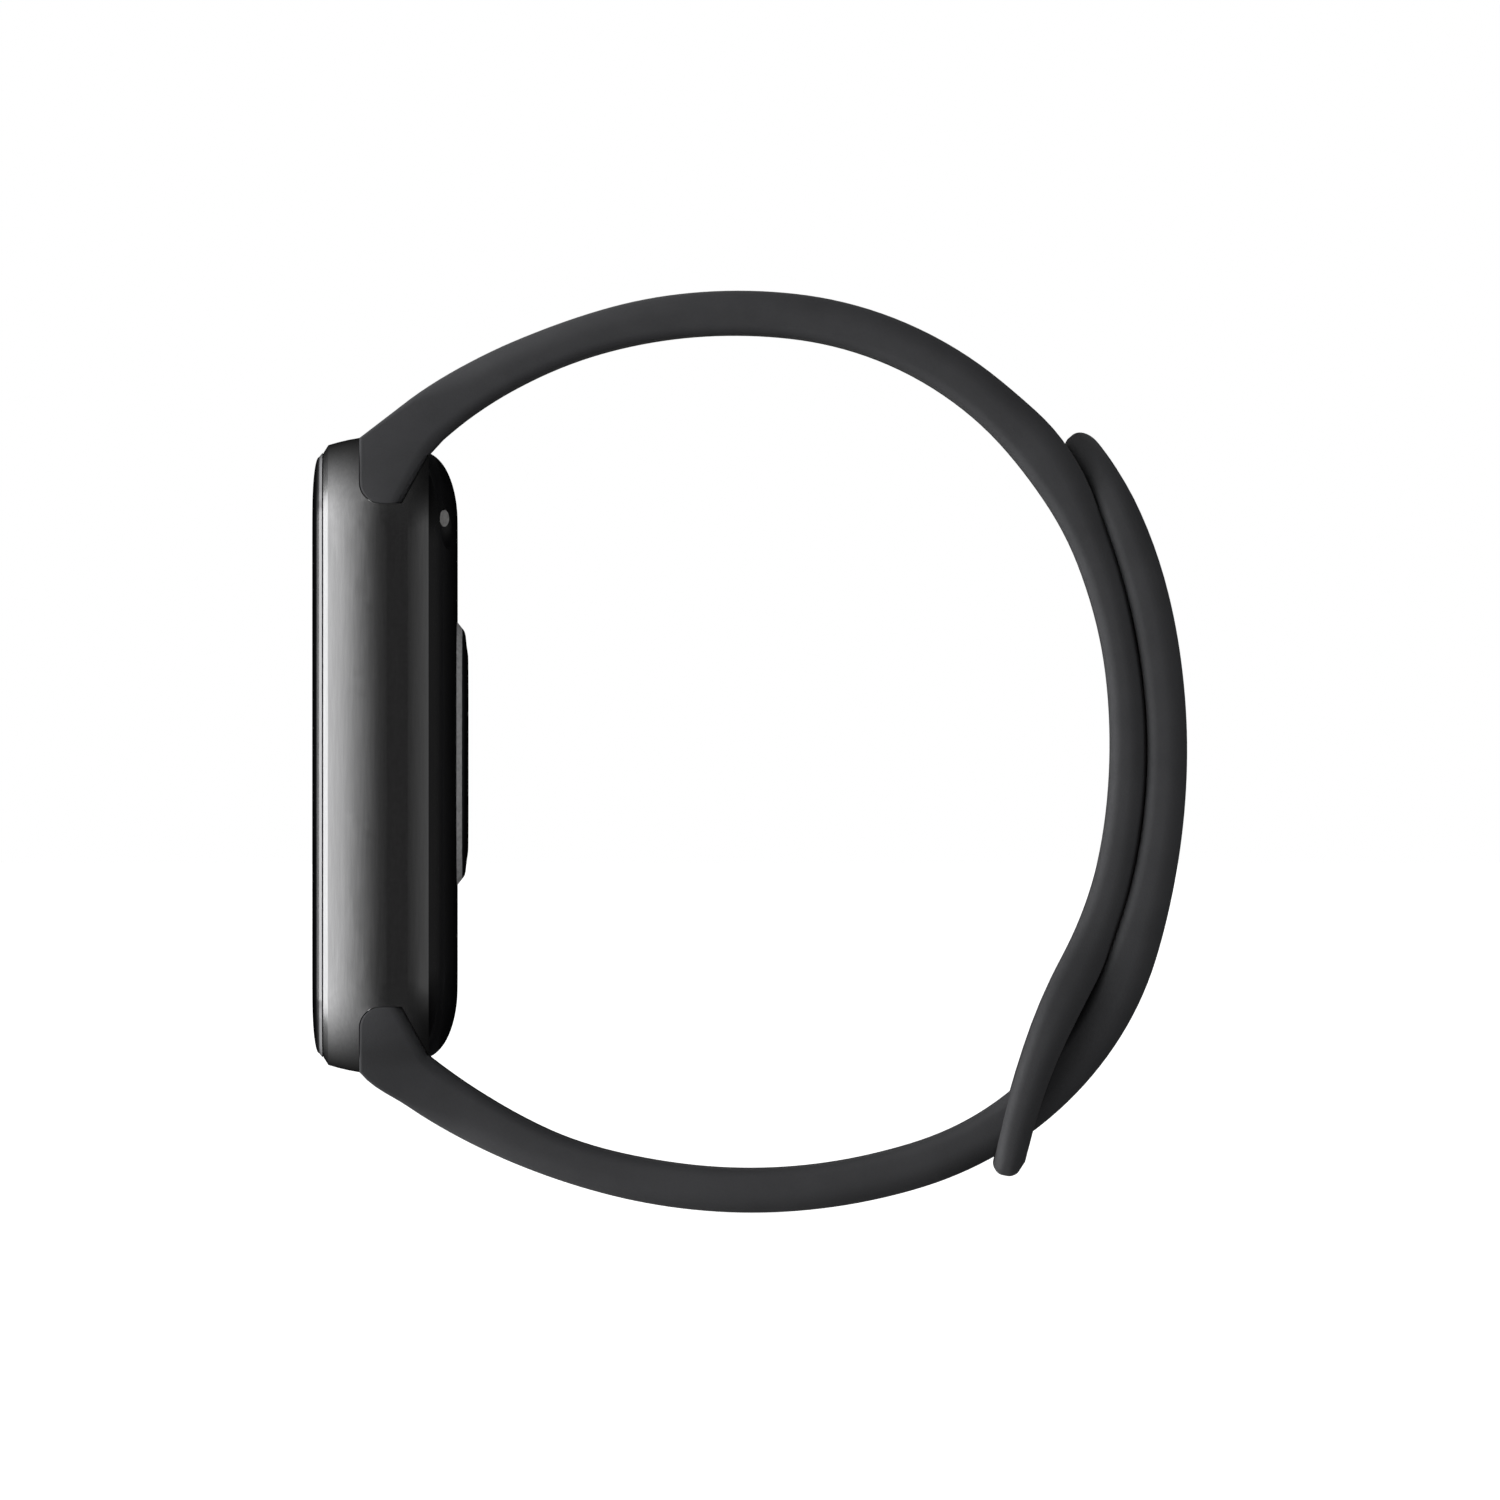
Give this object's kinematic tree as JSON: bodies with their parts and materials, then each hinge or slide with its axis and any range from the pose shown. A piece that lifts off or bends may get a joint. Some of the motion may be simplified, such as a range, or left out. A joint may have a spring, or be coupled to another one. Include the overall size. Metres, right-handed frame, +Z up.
{
  "type": "fitness tracker band",
  "caption": "Slim wrist-worn activity tracker: a rectangular display case with a rear optical sensor on a closed elastomer band that fastens with a stud and keeper.",
  "frame": {"origin": "centre of the wrist that the closed band goes round, midway across the band", "axes": "+Y along the wrist, -X out of the display, +X from the case towards the clasp, +Z up the case's long side"},
  "size_m": [0.0586, 0.0254, 0.0618],
  "materials": {
    "display_glass": "black cover glass with a clear coat",
    "seal_rubber": "soft black seal",
    "gasket_grey": "soft grey seal",
    "panel_black": "switched-off display panel",
    "frame_metallic": "dark grey metallic coating, satin",
    "cover_gloss": "glossy black moulding",
    "chassis_plastic": "glass-filled black plastic",
    "shield_steel": "tinned steel",
    "sensor_trim": "silvery satin trim",
    "sensor_glass": "dark tinted window",
    "battery_foil": "pouch foil",
    "flex_film": "polyimide film",
    "board_green": "solder mask",
    "chip_black": "moulded chip package",
    "antenna_gold": "plated",
    "led_green": "clear lamp",
    "screw_steel": "plain",
    "contact_metal": "plated, worn",
    "magnet_metal": "nickel plated",
    "rotor_metal": "sintered tungsten",
    "strap_rubber": "matte charcoal elastomer",
    "connector_plastic": "fine satin",
    "spring_steel": "spring wire",
    "stud_metal": "dark satin metal"
  },
  "bodies": {
    "root": {"cover_glass": "display_glass", "display_gasket": "gasket_grey", "display_panel": "panel_black", "mid_frame": "frame_metallic", "back_cover": "cover_gloss", "inner_chassis": "chassis_plastic", "cover_seal": "seal_rubber", "shield_can": "shield_steel", "sensor_ring": "sensor_trim", "sensor_window": "sensor_glass", "light_baffle": "chassis_plastic", "battery": "battery_foil", "battery_lead": "flex_film", "main_board": "board_green", "processor": "chip_black", "accelerometer": "chip_black", "antenna": "antenna_gold", "sensor_board": "board_green", "sensor_connector": "chassis_plastic", "display_flex": "flex_film", "sensor_leds": "led_green", "photodiodes": "chip_black", "chassis_screws": "screw_steel", "charge_contacts": "contact_metal", "motor_case": "screw_steel", "motor_base": "screw_steel", "motor_shaft": "screw_steel", "motor_magnet": "magnet_metal", "upper_strap": "strap_rubber", "lower_strap": "strap_rubber", "upper_connector": "connector_plastic", "lower_connector": "connector_plastic", "upper_latch_springs": "spring_steel", "lower_latch_springs": "spring_steel"},
    "tip": {"lower_strap_tip": "strap_rubber", "stud": "stud_metal", "stud_cap": "stud_metal"},
    "rotor": {"motor_rotor": "rotor_metal"},
    "upper_latch": {"upper_latch_button": "connector_plastic"},
    "lower_latch": {"lower_latch_button": "connector_plastic"}
  },
  "joints": [
    {"name": "clasp_peel", "type": "hinge", "parent": "root", "child": "tip", "pos_m": [0.02649, 0, 0.00286], "axis": [0, 1, 0], "range_deg": [0, 35], "stiffness_Nm_per_rad": 0.01},
    {"name": "upper_release", "type": "slide", "parent": "root", "child": "upper_latch", "axis": [-1, 0, 0], "range_m": [0, 0.0008], "stiffness_N_per_m": 600, "deforming": ["upper_latch_springs"]},
    {"name": "lower_release", "type": "slide", "parent": "root", "child": "lower_latch", "axis": [-1, 0, 0], "range_m": [0, 0.0008], "stiffness_N_per_m": 600, "deforming": ["lower_latch_springs"]},
    {"name": "motor_spin", "type": "hinge", "parent": "root", "child": "rotor", "pos_m": [-0.0277, -0.0055, 0.0102], "axis": [1, 0, 0], "continuous": true}
  ]
}
